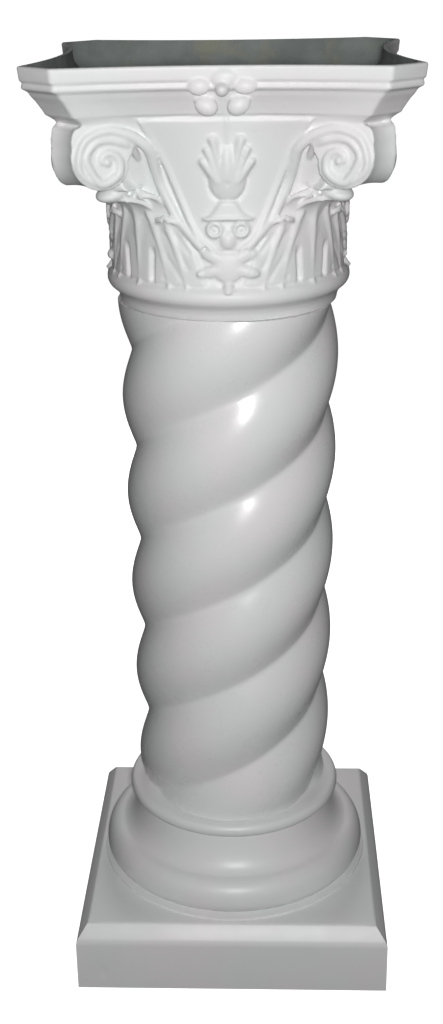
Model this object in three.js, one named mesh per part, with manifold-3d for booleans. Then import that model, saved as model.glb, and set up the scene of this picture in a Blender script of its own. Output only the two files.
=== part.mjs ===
// Column pedestal: a square base with round mouldings, a twisted shaft and a leafy capital with an open top.
// Millimetres, +Z up. The front, the side that faces the viewer, looks along -Y.
import * as THREE from 'three';
import { mergeVertices } from 'three/addons/utils/BufferGeometryUtils.js';
import Module from 'manifold-3d';

const wasm = await Module();
wasm.setup();

// Driving sizes of the whole
const wall = 6;
const seam = 0.3;
const seatRing = 14;

// Base: plinth, then the round mouldings from the bottom up
const plinthWidth = 348;
const plinthFace = 62.6;
const plinthBevel = 13.3;
const plinthBevelRise = 17.9;
const filletMargin = 4.7;
const filletHeight = 3;
const torusInset = 4;
const torusHeight = 35.5;
const torusDepth = 19;
const torusFootAngle = 46;
const scotiaHeight = 6;
const scotiaDepth = 2.5;
const upperTorusHeight = 22;
const upperTorusOverhang = 13;
const neckHeight = 18;
const neckOverhang = 1.5;
const collarHeight = 16;
const collarOverhang = 12.5;
const collarStep = 2.5;

// Shaft: round strands wound round each other, wider at the top
const strands = 3;
const shaftHeight = 575;
const shaftFootRadius = 110;
const shaftTopRadius = 115.6;
const grooveDepth = 13.5;
const lead = 325;
const footTurn = 29;

// Capital: bead, bell and abacus from the bottom up
const beadHeight = 38;
const beadOverhang = 9.7;
const footSetBack = 3.6;
const bellHeight = 160;
const bellOverhang = 1.5;
const bellFlareStart = 0.34;
const coveHeight = 31;
const listelHeight = 14;
const abacusWidth = 365.5;
const abacusChamfer = 33.9;
const abacusHollow = 22.1;
const abacusTaper = 31;
const coveLip = 3;
const roundHeight = 7;
const roundSetBack = 7;
const roundFoot = 3;
const listelSetBack = 1.5;

// Carving on the capital
const voluteStand = 179;
const voluteDrop = 43;
const voluteRadius = 34;
const voluteInnerRadius = 21.5;
const voluteBand = 26.2;
const voluteTurn = 22.5;
const voluteNeck = 26;
const scrollTurns = 1.75;
const scrollRelief = 4;
const scrollRidge = 8;
const panelRelief = 3;
const panelLip = 2.5;
const leafRelief = 5;
const cornerLeafCurl = 44;
const cornerLeafDroop = 27;
const sideLeafCurl = 16;
const sideLeafDroop = 12;
const flowerReach = 28;
const flowerRelief = 9;
const petals = 5;

// Colours
const white = new THREE.MeshStandardMaterial({ color: 0xe3e2e4, roughness: 0.35, metalness: 0 });
const steps = {
  ring: 24, bore: 16, side: 5, boreSide: 4, cap: 12, leaf: 7,
  strandAround: 8, strandAlong: 28, strandAroundInside: 4, strandAlongInside: 20,
};

const rad = THREE.MathUtils.degToRad;
const lerp = THREE.MathUtils.lerp;

// Heights of the seams, worked out from the sizes above
const plinthTop = plinthFace + plinthBevelRise;
const mouldingHeight = filletHeight + torusHeight + scotiaHeight + upperTorusHeight + neckHeight + collarHeight;
const baseTop = plinthTop + mouldingHeight;
const shaftFoot = baseTop + seam;
const shaftTop = shaftFoot + shaftHeight - seam;
const capitalFoot = shaftTop + seam;
const bellFoot = capitalFoot + beadHeight;
const bellTop = bellFoot + bellHeight;
const coveTop = bellTop + coveHeight;
const capitalTop = coveTop + listelHeight;
const abacusHalf = abacusWidth / 2;
const bellRadius = shaftTopRadius + bellOverhang;

// A closed body from rings of points, every ring with the same count, the first and last ring capped
function loft(rings) {
  const count = rings[0].length;
  const points = rings.flat();
  const middle = (ring) => ring.reduce((sum, p) => sum.add(p), new THREE.Vector3()).divideScalar(count);
  points.push(middle(rings[0]), middle(rings[rings.length - 1]));
  const first = points.length - 2;
  const faces = [];
  for (let row = 0; row + 1 < rings.length; row += 1) {
    for (let i = 0; i < count; i += 1) {
      const a = row * count + i;
      const b = row * count + (i + 1) % count;
      const c = b + count;
      const d = a + count;
      if (points[a].distanceTo(points[c]) < points[b].distanceTo(points[d])) {
        faces.push(a, b, c, a, c, d);
      } else {
        faces.push(a, b, d, b, c, d);
      }
    }
  }
  const last = (rings.length - 1) * count;
  for (let i = 0; i < count; i += 1) {
    const next = (i + 1) % count;
    faces.push(first, next, i);
    faces.push(first + 1, last + i, last + next);
  }
  const geometry = new THREE.BufferGeometry();
  geometry.setAttribute('position', new THREE.Float32BufferAttribute(points.flatMap((p) => p.toArray()), 3));
  geometry.setIndex(faces);
  return geometry;
}

// A geometry of three.js as a solid, its faces turned outward
function solid(geometry) {
  geometry.deleteAttribute('normal');
  geometry.deleteAttribute('uv');
  const merged = mergeVertices(geometry, 1e-4);
  const make = (index) => new wasm.Manifold(new wasm.Mesh({
    numProp: 3,
    vertProperties: new Float32Array(merged.getAttribute('position').array),
    triVerts: new Uint32Array(index),
  }));
  const index = Array.from(merged.getIndex().array);
  const body = make(index);
  return body.volume() > 0 ? body : make(index.reverse());
}

// A named mesh of a solid
function meshOf(body, name) {
  const out = body.getMesh();
  const geometry = new THREE.BufferGeometry();
  geometry.setAttribute('position', new THREE.BufferAttribute(out.vertProperties, 3));
  geometry.setIndex(new THREE.BufferAttribute(out.triVerts, 1));
  geometry.computeVertexNormals();
  const mesh = new THREE.Mesh(geometry, white);
  mesh.name = name;
  return mesh;
}

// The same shape on all four sides
function onFourSides(geometry) {
  return [0, 1, 2, 3].map((quarter) => geometry.clone().rotateZ(quarter * Math.PI / 2));
}

// The same shape on the other side of the front's middle
function mirrored(geometry) {
  return geometry.clone().scale(-1, 1, 1);
}

function joined(geometries) {
  return geometries.map(solid).reduce((sum, body) => sum.add(body));
}

// A turned body from radius and height pairs that start and end on the axis
function turnedProfile(pairs, sides = steps.ring) {
  const lathe = new THREE.LatheGeometry(pairs.map(([r, z]) => new THREE.Vector2(r, z)), sides);
  return lathe.rotateX(Math.PI / 2);
}

// Points of an elliptic arc in radius and height
function arc(r, z, wide, high, from, to, count) {
  const pairs = [];
  for (let i = 0; i <= count; i += 1) {
    const angle = rad(lerp(from, to, i / count));
    pairs.push([r + wide * Math.cos(angle), z + high * Math.sin(angle)]);
  }
  return pairs;
}

function squareRing(half, z) {
  return [[-1, -1], [1, -1], [1, 1], [-1, 1]].map(([x, y]) => new THREE.Vector3(x * half, y * half, z));
}

// Base: plinth and mouldings in one casting, open underneath and through its top
function makeBase() {
  const half = plinthWidth / 2;
  const plinth = loft([
    squareRing(half, 0),
    squareRing(half, plinthFace),
    squareRing(half - plinthBevel, plinthTop),
  ]);
  const filletRadius = half - plinthBevel - filletMargin;
  const torusFoot = plinthTop + filletHeight;
  const torusRadius = filletRadius - torusInset;
  const torusTop = torusFoot + torusHeight;
  const torusHollow = torusRadius - torusDepth * (1 - Math.cos(rad(torusFootAngle))) - wall;
  const scotiaTop = torusTop + scotiaHeight;
  const neckRadius = shaftFootRadius + neckOverhang;
  const upperRadius = shaftFootRadius + upperTorusOverhang;
  const upperTop = scotiaTop + upperTorusHeight;
  const collarFoot = upperTop + neckHeight;
  const collarRadius = shaftFootRadius + collarOverhang;
  const seatRadius = neckRadius + collarStep;
  const beadHigh = (collarHeight - collarStep) / 2;
  const scotiaRadius = upperRadius - torusDepth / 4;
  const mouldings = turnedProfile([
    [0, plinthTop - wall / 2],
    [filletRadius, plinthTop - wall / 2],
    [filletRadius, torusFoot - filletHeight / 3],
    [filletRadius - filletHeight / 2, torusFoot],
    ...arc(torusRadius - torusDepth, torusFoot + torusHeight * 0.42, torusDepth, torusHeight * 0.58,
      -torusFootAngle, 90, 5),
    ...arc(torusRadius - torusDepth, torusTop + scotiaHeight * 0.4, torusRadius - torusDepth - scotiaRadius,
      scotiaHeight * 0.6, 250, 180, 2),
    ...arc(upperRadius - upperTorusHeight / 2, (scotiaTop + upperTop) / 2, upperTorusHeight / 2,
      upperTorusHeight / 2, -60, 70, 3),
    [neckRadius + scotiaDepth, upperTop + scotiaDepth],
    [neckRadius, collarFoot - neckHeight / 3],
    [neckRadius + scotiaDepth, collarFoot - scotiaDepth / 2],
    ...arc(collarRadius - beadHigh, collarFoot + beadHigh, beadHigh, beadHigh, -80, 70, 3),
    [seatRadius, baseTop - collarStep],
    [seatRadius - collarStep / 2, baseTop],
    [0, baseTop],
  ]);
  const hollow = loft([
    squareRing(half - wall, -wall),
    squareRing(half - wall, plinthFace - wall / 2),
    squareRing(half - plinthBevel - wall, plinthTop - wall),
  ]);
  const bore = shaftFootRadius - grooveDepth - seatRing;
  const neckHollow = turnedProfile([
    [0, plinthTop - 2 * wall],
    [torusHollow, plinthTop - 2 * wall],
    [torusHollow, torusFoot + torusHeight * 0.4],
    [scotiaRadius - wall, torusTop - wall],
    [scotiaRadius - wall, scotiaTop],
    [neckRadius - wall, upperTop - wall],
    [neckRadius - wall, baseTop - 2 * wall],
    [bore, baseTop - wall],
    [bore, baseTop + wall],
    [0, baseTop + wall],
  ], steps.bore);
  return meshOf(joined([plinth, mouldings]).subtract(joined([hollow, neckHollow])), 'base');
}

// Radius of the strands' outline at an angle from the first crest: circular lobes that meet in sharp grooves
function strandRadius(angle, crest, depth) {
  const pitch = 2 * Math.PI / strands;
  const local = ((angle + pitch / 2) % pitch + pitch) % pitch - pitch / 2;
  const valley = crest - depth;
  const c = Math.cos(pitch / 2);
  const off = (crest * crest - valley * valley) / (2 * (crest - valley * c));
  const lobe = crest - off;
  return off * Math.cos(local) + Math.sqrt(lobe * lobe - (off * Math.sin(local)) ** 2);
}

function strandRing(z, inset, count) {
  const share = (z - shaftFoot) / (shaftTop - shaftFoot);
  const crest = lerp(shaftFootRadius, shaftTopRadius, share);
  const turn = rad(footTurn) + 2 * Math.PI * (z - shaftFoot) / lead;
  const ring = [];
  for (let i = 0; i < count; i += 1) {
    const angle = 2 * Math.PI * i / count;
    const r = strandRadius(angle, crest, grooveDepth) - inset;
    ring.push(new THREE.Vector3(r * Math.cos(angle + turn), r * Math.sin(angle + turn), z));
  }
  return ring;
}

function strandBody(from, to, inset, around, along) {
  const rings = [];
  for (let i = 0; i <= along; i += 1) {
    rings.push(strandRing(lerp(from, to, i / along), inset, around));
  }
  return loft(rings);
}

// Shaft: a tube whose wall follows the strands inside and out
function makeShaft() {
  const outer = strandBody(shaftFoot, shaftTop, 0, strands * steps.strandAround, steps.strandAlong);
  const inner = strandBody(shaftFoot - wall, shaftTop + wall, wall, strands * steps.strandAroundInside,
    steps.strandAlongInside);
  return meshOf(solid(outer).subtract(solid(inner)), 'shaft');
}

// Outline of the abacus, seen from above: hollow sides and cut corners, with a count of steps along a side
function abacusOutline(count) {
  const corner = abacusHalf - abacusChamfer;
  const points = [];
  for (let side = 0; side < 4; side += 1) {
    for (let i = 0; i <= count; i += 1) {
      const x = lerp(-corner, corner, i / count);
      const y = -(abacusHalf - abacusHollow * (1 - (x / corner) ** 2));
      points.push(new THREE.Vector3(x, y, 0).applyAxisAngle(new THREE.Vector3(0, 0, 1), side * Math.PI / 2));
    }
  }
  return points;
}

const outline = abacusOutline(steps.side);
const boreOutline = abacusOutline(steps.boreSide);

// A ring of the capital: the abacus outline at a scale, blended into a circle
function capitalRing(z, scale, round, radius, points = outline) {
  return points.map((p) => {
    const angle = Math.atan2(p.y, p.x);
    const x = lerp(p.x * scale, radius * Math.cos(angle), round);
    const y = lerp(p.y * scale, radius * Math.sin(angle), round);
    return new THREE.Vector3(x, y, z);
  });
}

const coveFootScale = 1 - abacusTaper / abacusHalf;

// How round the bell still is at a height: a circle below the flare, the abacus outline at the top
function bellRoundness(z) {
  const share = (z - bellFoot) / bellHeight;
  return 1 - Math.max(0, (share - bellFlareStart) / (1 - bellFlareStart)) ** 2;
}

// Distance of the bell's front from the axis plane at a place x across and z up
function bellFront(x, z) {
  const round = bellRoundness(z);
  const corner = abacusHalf - abacusChamfer;
  const side = (abacusHalf - abacusHollow) * coveFootScale + abacusHollow * (x / (corner * coveFootScale)) ** 2;
  const circle = Math.sqrt(Math.max(0, bellRadius ** 2 - x * x));
  return lerp(side, circle, round);
}

// A point on the bell's front, raised from it; across and up are shares of the bell's radius and height
function onFront(across, up, raise) {
  const x = across * bellRadius;
  const z = bellFoot + up * bellHeight;
  const out = bellFront(x, z) + raise;
  const slant = Math.min(0.9, Math.abs(x) / bellRadius) * Math.sign(x) * raise * bellRoundness(z) * 0.6;
  return new THREE.Vector3(x + slant, -out, z);
}

// Shares of the bell's height at which it has a ring
const bellShares = [0, bellFlareStart, 0.5, 0.64, 0.76, 0.88, 0.997];

// Bead, bell, cove and listel of the abacus, solid
function makeBell() {
  const beadRadius = shaftTopRadius + beadOverhang;
  const foot = shaftTopRadius - footSetBack;
  const bead = [
    [foot, 0],
    [lerp(foot, beadRadius, 0.5), 0.22],
    [lerp(foot, beadRadius, 0.9), 0.48],
    [beadRadius, 0.66],
    [lerp(bellRadius, beadRadius, 0.6), 0.88],
    [bellRadius, 1],
  ].map(([radius, share]) => capitalRing(capitalFoot + share * beadHeight, 1, 1, radius));
  const bell = bellShares.slice(1).map((share) => {
    const z = bellFoot + share * bellHeight;
    return capitalRing(z, coveFootScale, bellRoundness(z), bellRadius);
  });
  const tapers = [
    [bellTop, abacusTaper - coveLip],
    [lerp(bellTop, coveTop, 0.35), 0.65 * abacusTaper],
    [coveTop - roundHeight - roundFoot, roundSetBack + 1.5 * roundFoot],
    [coveTop - roundHeight, roundSetBack],
    [coveTop - roundHeight / 2, roundSetBack - roundFoot / 2],
    [coveTop, listelSetBack],
    [coveTop + listelSetBack, 0],
    [capitalTop, 0],
  ].map(([z, taper]) => capitalRing(z, 1 - taper / abacusHalf, 0, 1));
  return loft([...bead, ...bell, ...tapers]);
}

// Hollow of the capital: wide open at the top, a round way through its foot
function capitalHollow() {
  const bore = shaftTopRadius - grooveDepth - seatRing;
  const shrink = wall / abacusHalf;
  const ring = (z, scale, round, radius) => capitalRing(z, scale - shrink, round, radius, boreOutline);
  const bell = bellShares.slice(1).map((share) => {
    const z = bellFoot + share * bellHeight;
    return ring(z, coveFootScale, bellRoundness(z), bellRadius - wall);
  });
  return loft([
    ring(capitalFoot - wall, 1, 1, bore),
    ring(capitalFoot + wall, 1, 1, bore),
    ring(capitalFoot + 2 * wall, 1, 1, bellRadius - 2 * wall),
    ...bell,
    ring(coveTop - roundHeight - roundFoot, 1 - (roundSetBack + 1.5 * roundFoot) / abacusHalf, 0, 1),
    ring(coveTop, 1, 0, 1),
    ring(capitalTop + wall, 1, 0, 1),
  ]);
}

// Where the volutes stand: the height of their middle, and the direction of their faces
const voluteHeight = bellTop - voluteDrop;
const faceSlope = Math.tan(rad(voluteTurn));

function voluteHalfWidth(s) {
  return voluteBand + (voluteStand - s) * faceSlope;
}

// The coil starts at this angle, and its outline shows over this sweep of its first turn
const coilStart = 135;
const coilSweep = 315;

// Radius of the coil's outline at a share of that sweep
function coilRadius(share) {
  return lerp(voluteRadius, voluteInnerRadius, share);
}

// A point of the diagonal plane at distance s, and across it at distance t, for the corner right of the front
function onDiagonal(s, t, z) {
  const c = Math.SQRT1_2;
  return new THREE.Vector3((s + t) * c, (t - s) * c, z);
}

// The cushion between two scrolls: a wheel on the diagonal whose outline draws in as the scrolls do
function makeVolute() {
  const left = [];
  const right = [];
  for (let i = 0; i < steps.cap; i += 1) {
    const share = i / (steps.cap - 1);
    const angle = rad(coilStart - coilSweep * share);
    const s = voluteStand + coilRadius(share) * Math.cos(angle);
    const z = voluteHeight + coilRadius(share) * Math.sin(angle);
    left.push(onDiagonal(s, -voluteHalfWidth(s), z));
    right.push(onDiagonal(s, voluteHalfWidth(s), z));
  }
  return loft([left, right]);
}

// The neck that carries a volute from the bell, out of sight behind the scrolls
function makeVoluteNeck() {
  const foot = voluteHeight - voluteNeck / 2;
  const ends = [bellRadius - wall / 2, voluteStand];
  return loft(ends.map((s) => [[-1, foot], [1, foot], [1, bellTop], [-1, bellTop]].map(
    ([side, z]) => onDiagonal(s, side * voluteNeck / 2, z),
  )));
}

// A ridge with a three-sided section along points, each with its outward and sideways directions
function ridge(stations) {
  return loft(stations.map(({ at, out, side, high, wide }) => [
    at.clone().addScaledVector(side, -wide / 2).addScaledVector(out, -wall / 2),
    at.clone().addScaledVector(out, high),
    at.clone().addScaledVector(side, wide / 2).addScaledVector(out, -wall / 2),
  ]));
}

// The spiral on the front face of the right-hand volute
function makeScroll() {
  const centre = onDiagonal(voluteStand, -voluteBand, voluteHeight);
  const across = onDiagonal(1, faceSlope, 0).normalize();
  const out = onDiagonal(faceSlope, -1, 0).normalize();
  const count = Math.round(scrollTurns * 6);
  const stations = [];
  for (let i = 0; i <= count; i += 1) {
    const t = i / count;
    const angle = rad(coilStart - 360 * scrollTurns * t);
    const r = Math.max(coilRadius(t * scrollTurns * 360 / coilSweep) - scrollRidge / 2, scrollRidge / 2);
    const spoke = across.clone().multiplyScalar(Math.cos(angle)).add(new THREE.Vector3(0, 0, Math.sin(angle)));
    stations.push({
      at: centre.clone().addScaledVector(spoke, r),
      out,
      side: spoke,
      high: scrollRelief,
      wide: scrollRidge * (1 - 0.4 * t),
    });
  }
  return ridge(stations);
}

// The stem that climbs from the middle of the bell's foot to the scroll
const stemLine = [[0.27, 0.22], [0.36, 0.34], [0.44, 0.52], [0.53, 0.7], [0.64, 0.86], [0.78, 0.93], [0.93, 0.9]];

function makeStem() {
  const points = stemLine.map(([across, up]) => onFront(across, up, 0));
  const curve = new THREE.CatmullRomCurve3(points);
  const stations = [];
  for (let i = 0; i <= 5; i += 1) {
    const at = curve.getPoint(i / 5);
    const along = curve.getTangent(i / 5);
    const out = new THREE.Vector3(at.x * 0.4, -bellRadius, 0).normalize();
    const side = along.clone().cross(out).normalize();
    stations.push({ at, out, side, high: scrollRelief, wide: scrollRidge * 1.3 });
  }
  return ridge(stations);
}

// The panel in the middle of a side: wide under the abacus, narrow at its foot, with a raised lip
function panelHalf(up) {
  return lerp(0.24, 0.64, up ** 1.5);
}

function makePanel() {
  const rows = [0.2, 0.36, 0.56, 0.78, 0.985];
  return loft(rows.map((up) => {
    const half = panelHalf((up - 0.2) / 0.785);
    const front = [
      [-half, 0], [-half + 0.015, panelRelief + panelLip], [-half + 0.06, panelRelief],
      [0, panelRelief],
      [half - 0.06, panelRelief], [half - 0.015, panelRelief + panelLip], [half, 0],
    ];
    const back = [[half - 0.05, -wall / 2], [-half + 0.05, -wall / 2]];
    return [...front, ...back].map(([across, raise]) => onFront(across, up, raise));
  }));
}

// A leaf that grows up the bell, leans from one angle to another and curls over, lobed along both edges
function makeLeaf({ foot, tip, halfWidth, curl, droop, top }) {
  const count = steps.leaf;
  const rings = [];
  for (let i = 0; i <= count; i += 1) {
    const t = i / count;
    const lift = Math.max(0, t - 0.6) / 0.4;
    const climb = Math.sin(Math.min(1, t / 0.9) * Math.PI / 2);
    const z = bellFoot + bellHeight * top * climb - droop * Math.max(0, lift - 0.6);
    const r = bellRadius + leafRelief * (0.3 + t) + curl * lift ** 1.6;
    const lobe = i % 2 === 0 ? 1.12 : 0.88;
    const round = t < 0.7 ? lerp(0.85, 1, t / 0.7) : Math.sqrt(Math.max(0.04, 1 - ((t - 0.7) / 0.3) ** 2));
    const half = halfWidth * lobe * round;
    const edge = lift > 0.3 ? 0.4 * leafRelief : r - bellRadius + 1.5;
    const section = [[-1, -edge], [-0.45, 0.1 * leafRelief], [0, 0.5 * leafRelief], [0.45, 0.1 * leafRelief],
      [1, -edge], [0, -edge - leafRelief * 0.6]];
    const nose = lift > 0.6 ? 0.7 : 0;
    rings.push(section.map(([across, raise]) => {
      const angle = rad(lerp(foot, tip, Math.min(1, t / 0.6)) - 90) + across * half / bellRadius;
      const out = r + raise * (1 - nose);
      return new THREE.Vector3(out * Math.cos(angle), out * Math.sin(angle), z + raise * nose);
    }));
  }
  return loft(rings);
}

// The flower in the middle of each side of the abacus: round petals about a boss
function makeFlower() {
  const y = -(abacusHalf - abacusHollow);
  const z = capitalTop - flowerReach * 0.8;
  const ring = (scale, out) => {
    const points = [];
    for (let i = 0; i < petals * 3; i += 1) {
      const angle = 2 * Math.PI * (i + 1.5) / (petals * 3) + Math.PI / 2;
      const reach = flowerReach * scale * (i % 3 === 1 ? 0.55 : 1);
      points.push(new THREE.Vector3(reach * Math.cos(angle), y - out, z + 0.78 * reach * Math.sin(angle)));
    }
    return points;
  };
  const boss = new THREE.SphereGeometry(flowerReach * 0.23, 6, 4);
  return [
    loft([ring(0.9, -2.5 * flowerRelief), ring(1, 0), ring(0.7, flowerRelief / 2), ring(0.3, 0)]),
    boss.translate(0, y - flowerRelief / 2, z),
  ];
}

// The ornament down the middle of the panel, from its foot up: drop, five-lobed leaf, a pair of curls, calyx,
// bud and the crown of leaves. Each row is a height and a half width as shares, and a relief.
const ornamentRows = [
  [-0.05, 0.02, 1], [0.02, 0.05, 4], [0.1, 0.2, 4], [0.15, 0.14, 6], [0.2, 0.23, 4], [0.26, 0.07, 4],
  [0.31, 0.2, 6], [0.37, 0.16, 6], [0.42, 0.17, 6], [0.49, 0.05, 3], [0.56, 0.12, 7], [0.68, 0.17, 7],
  [0.79, 0.2, 5], [0.86, 0.1, 2],
];

function makeOrnament() {
  return loft(ornamentRows.map(([up, half, raise]) => [
    onFront(-half, up, panelRelief - 1),
    onFront(-half * 0.5, up, panelRelief + raise),
    onFront(half * 0.5, up, panelRelief + raise),
    onFront(half, up, panelRelief - 1),
    onFront(0, up, -wall / 2),
  ]));
}

// Capital: bead, bell, abacus and all their carving in one casting
function makeCapital() {
  const sideLeaf = makeLeaf({
    foot: 27, tip: 36, halfWidth: 16, curl: sideLeafCurl, droop: sideLeafDroop, top: 0.585,
  });
  const cornerLeaf = makeLeaf({
    foot: 45, tip: 45, halfWidth: 20, curl: cornerLeafCurl, droop: cornerLeafDroop, top: 0.55,
  });
  const halfSide = [makeScroll(), makeStem(), sideLeaf];
  const side = [
    ...halfSide,
    ...halfSide.map(mirrored),
    makePanel(),
    ...makeFlower(),
    makeOrnament(),
    makeVolute(),
    makeVoluteNeck(),
    cornerLeaf,
  ];
  const carved = joined([makeBell(), ...side.flatMap(onFourSides)]);
  return meshOf(carved.subtract(solid(capitalHollow())), 'capital');
}

const pedestal = new THREE.Group();
pedestal.add(makeBase());
pedestal.add(makeShaft());
pedestal.add(makeCapital());

export default pedestal;
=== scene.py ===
import math

import bmesh
import bpy
from mathutils import Matrix, Vector, noise


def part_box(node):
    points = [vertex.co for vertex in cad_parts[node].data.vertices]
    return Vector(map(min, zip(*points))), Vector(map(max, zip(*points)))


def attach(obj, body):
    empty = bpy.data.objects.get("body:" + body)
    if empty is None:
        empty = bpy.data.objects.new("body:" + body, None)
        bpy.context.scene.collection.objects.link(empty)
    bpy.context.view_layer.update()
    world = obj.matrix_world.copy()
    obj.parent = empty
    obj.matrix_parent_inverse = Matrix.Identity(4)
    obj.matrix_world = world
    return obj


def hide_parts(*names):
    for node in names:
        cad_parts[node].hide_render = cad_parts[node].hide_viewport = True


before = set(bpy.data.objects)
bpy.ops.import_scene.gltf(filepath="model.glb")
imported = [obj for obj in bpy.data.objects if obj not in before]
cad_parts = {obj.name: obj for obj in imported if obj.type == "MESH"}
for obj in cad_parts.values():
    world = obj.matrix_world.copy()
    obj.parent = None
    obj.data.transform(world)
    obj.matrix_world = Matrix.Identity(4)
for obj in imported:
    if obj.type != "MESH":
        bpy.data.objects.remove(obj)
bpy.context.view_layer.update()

# Base
# The square plinth with its round mouldings is one hollow shell of glass-fibre resin, sprayed white. It was
# pulled from one mould, stands on its lower rim, and the shaft is glued on the flat top of its collar.
mm = 0.001
wall = 6 * mm
base_high = Vector(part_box("base")[1])
plinth_half = base_high.x
base_top = base_high.z
shaft_foot_radius = 110 * mm
groove_depth = 13.5 * mm
seat_ring = 14 * mm
plinth_face = 62.6 * mm
plinth_bevel = 13.3 * mm
plinth_bevel_rise = 17.9 * mm
plinth_edge = 2.2 * mm
plinth_cuts = 22
fillet_margin = 4.7 * mm
fillet_height = 3 * mm
torus_inset = 3 * mm
torus_height = 38.5 * mm
torus_depth = 19 * mm
torus_middle_share = 0.35
torus_foot_angle = 60
scotia_height = 43 * mm
scotia_spread = 5.5 * mm
scotia_lift = 6 * mm
neck_overhang = 1.5 * mm
collar_height = 16 * mm
collar_overhang = 12.5 * mm
collar_step = 2.5 * mm
turning_steps = 200
hollow_steps = 64
dimple_place = Vector((-144, -174, 23)) * mm
dimple_radius = 5 * mm
dimple_depth = 1.2 * mm
hand_unevenness = 0.35 * mm
uneven_size = 120 * mm
uneven_seed = 1.7
paint_reach = 0.8 * mm


class Field:
    """A socket of a material, on which plain arithmetic adds Math nodes."""

    def __init__(self, finish, socket):
        self.finish = finish
        self.socket = socket

    def maths(self, operation, *values):
        return self.finish.node("ShaderNodeMath", {"operation": operation}, dict(enumerate(values)))

    def __add__(self, other):
        return self.maths("ADD", self, other)

    __radd__ = __add__

    def __sub__(self, other):
        return self.maths("SUBTRACT", self, other)

    def __rsub__(self, other):
        return self.maths("SUBTRACT", other, self)

    def __mul__(self, other):
        return self.maths("MULTIPLY", self, other)

    __rmul__ = __mul__

    def between(self, low, high):
        """0 below low, 1 above high, smooth between them."""
        settings = {"interpolation_type": "SMOOTHSTEP"}
        values = {"Value": self, "From Min": low, "From Max": high}
        return self.finish.node("ShaderNodeMapRange", settings, values)


class Finish:
    """A material in the making."""

    def __init__(self, name):
        self.material = bpy.data.materials.new(name)
        self.material.use_nodes = True
        self.tree = self.material.node_tree
        self.shader = self.tree.nodes["Principled BSDF"]
        self.place = self.node("ShaderNodeTexCoord", {}, {}, "Object")

    def node(self, kind, settings, values, output=0):
        node = self.tree.nodes.new(kind)
        for name, value in settings.items():
            if name == "stops":
                self.set_stops(node.color_ramp, value)
            else:
                setattr(node, name, value)
        for name, value in values.items():
            self.feed(node.inputs[name], value)
        return Field(self, node.outputs[output])

    def set_stops(self, ramp, stops):
        while len(ramp.elements) < len(stops):
            ramp.elements.new(0.5)
        for element, (position, colour) in zip(ramp.elements, stops):
            element.position = position
            element.color = colour

    def feed(self, socket, value):
        if isinstance(value, Field):
            self.tree.links.new(value.socket, socket)
        else:
            socket.default_value = value

    def set(self, **values):
        for name, value in values.items():
            self.feed(self.shader.inputs[name.replace("_", " ")], value)

    def noise(self, size, detail=2.0, roughness=0.5):
        values = {"Vector": self.place, "Scale": 1 / size, "Detail": detail, "Roughness": roughness}
        return self.node("ShaderNodeTexNoise", {}, values)

    def mix(self, share, first, second):
        values = {0: share, 6: first, 7: second}
        return self.node("ShaderNodeMix", {"data_type": "RGBA"}, values, 2)

    def bump(self, height, distance, strength=1.0, normal=None):
        values = {"Height": height, "Distance": distance, "Strength": strength}
        if normal:
            values["Normal"] = normal
        return self.node("ShaderNodeBump", {}, values)


def white_gel_coat(name, roughness):
    """White paint, faintly pink and grey-green in places, with the soft waves of a sprayed cast."""
    warm_white = (0.83, 0.81, 0.815, 1)
    cool_white = (0.80, 0.82, 0.815, 1)
    dusty_white = (0.66, 0.66, 0.63, 1)
    cloud = 90 * mm
    orange_peel = 3.5 * mm
    wave = 28 * mm
    finish = Finish(name)
    tint = finish.noise(cloud, 3).between(0.4, 0.6)
    dust = finish.noise(cloud / 6, 5, 0.7).between(0.58, 0.8)
    white = finish.mix(tint, warm_white, cool_white)
    finish.set(Base_Color=finish.mix(dust * 0.22, white, dusty_white))
    finish.set(Roughness=roughness - 0.05 + finish.noise(cloud / 3, 3) * 0.10)
    waves = finish.bump(finish.noise(wave, 1), 0.5 * mm, 0.7)
    finish.set(Normal=finish.bump(finish.noise(orange_peel, 1), 0.04 * mm, 0.6, waves))
    return finish.material


def raw_laminate():
    """The unpainted inside: grey-green resin over glass mat, with yellow-brown runs and chalky dust."""
    grey_green = (0.235, 0.26, 0.25, 1)
    dark_green = (0.175, 0.195, 0.19, 1)
    run_yellow = (0.27, 0.27, 0.20, 1)
    chalk = (0.42, 0.43, 0.41, 1)
    blotch = 45 * mm
    fibre = 2.2 * mm
    finish = Finish("raw_laminate")
    ground = finish.mix(finish.noise(blotch, 4).between(0.35, 0.65), dark_green, grey_green)
    runs = finish.noise(blotch * 1.4, 5, 0.6).between(0.52, 0.68)
    stained = finish.mix(runs * 0.75, ground, run_yellow)
    dust = finish.noise(blotch / 5, 6, 0.7).between(0.6, 0.78)
    finish.set(Base_Color=finish.mix(dust * 0.5, stained, chalk))
    finish.set(Roughness=0.62 + finish.noise(blotch, 2) * 0.25)
    mat = finish.node("ShaderNodeTexVoronoi", {}, {"Vector": finish.place, "Scale": 1 / fibre})
    finish.set(Normal=finish.bump(mat + finish.noise(blotch / 3, 3) * 2, 0.5 * mm, 0.5))
    return finish.material


outside = white_gel_coat("white_gel_coat_semi_gloss", 0.4)
inside = raw_laminate()


def profile(bm, pairs):
    """An open line of radius and height pairs in the XZ plane, as edges ready to be spun."""
    verts = [bm.verts.new((radius, 0, height)) for radius, height in pairs]
    return [bm.edges.new(pair) for pair in zip(verts, verts[1:])]


def spun(pairs, steps):
    """A body turned about the axis from a profile that starts and ends on it."""
    bm = bmesh.new()
    edges = profile(bm, pairs)
    line = bm.verts[:] + edges
    bmesh.ops.spin(
        bm, geom=line, cent=(0, 0, 0), axis=(0, 0, 1), angle=math.tau, steps=steps, use_merge=True
    )
    return bm


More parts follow.
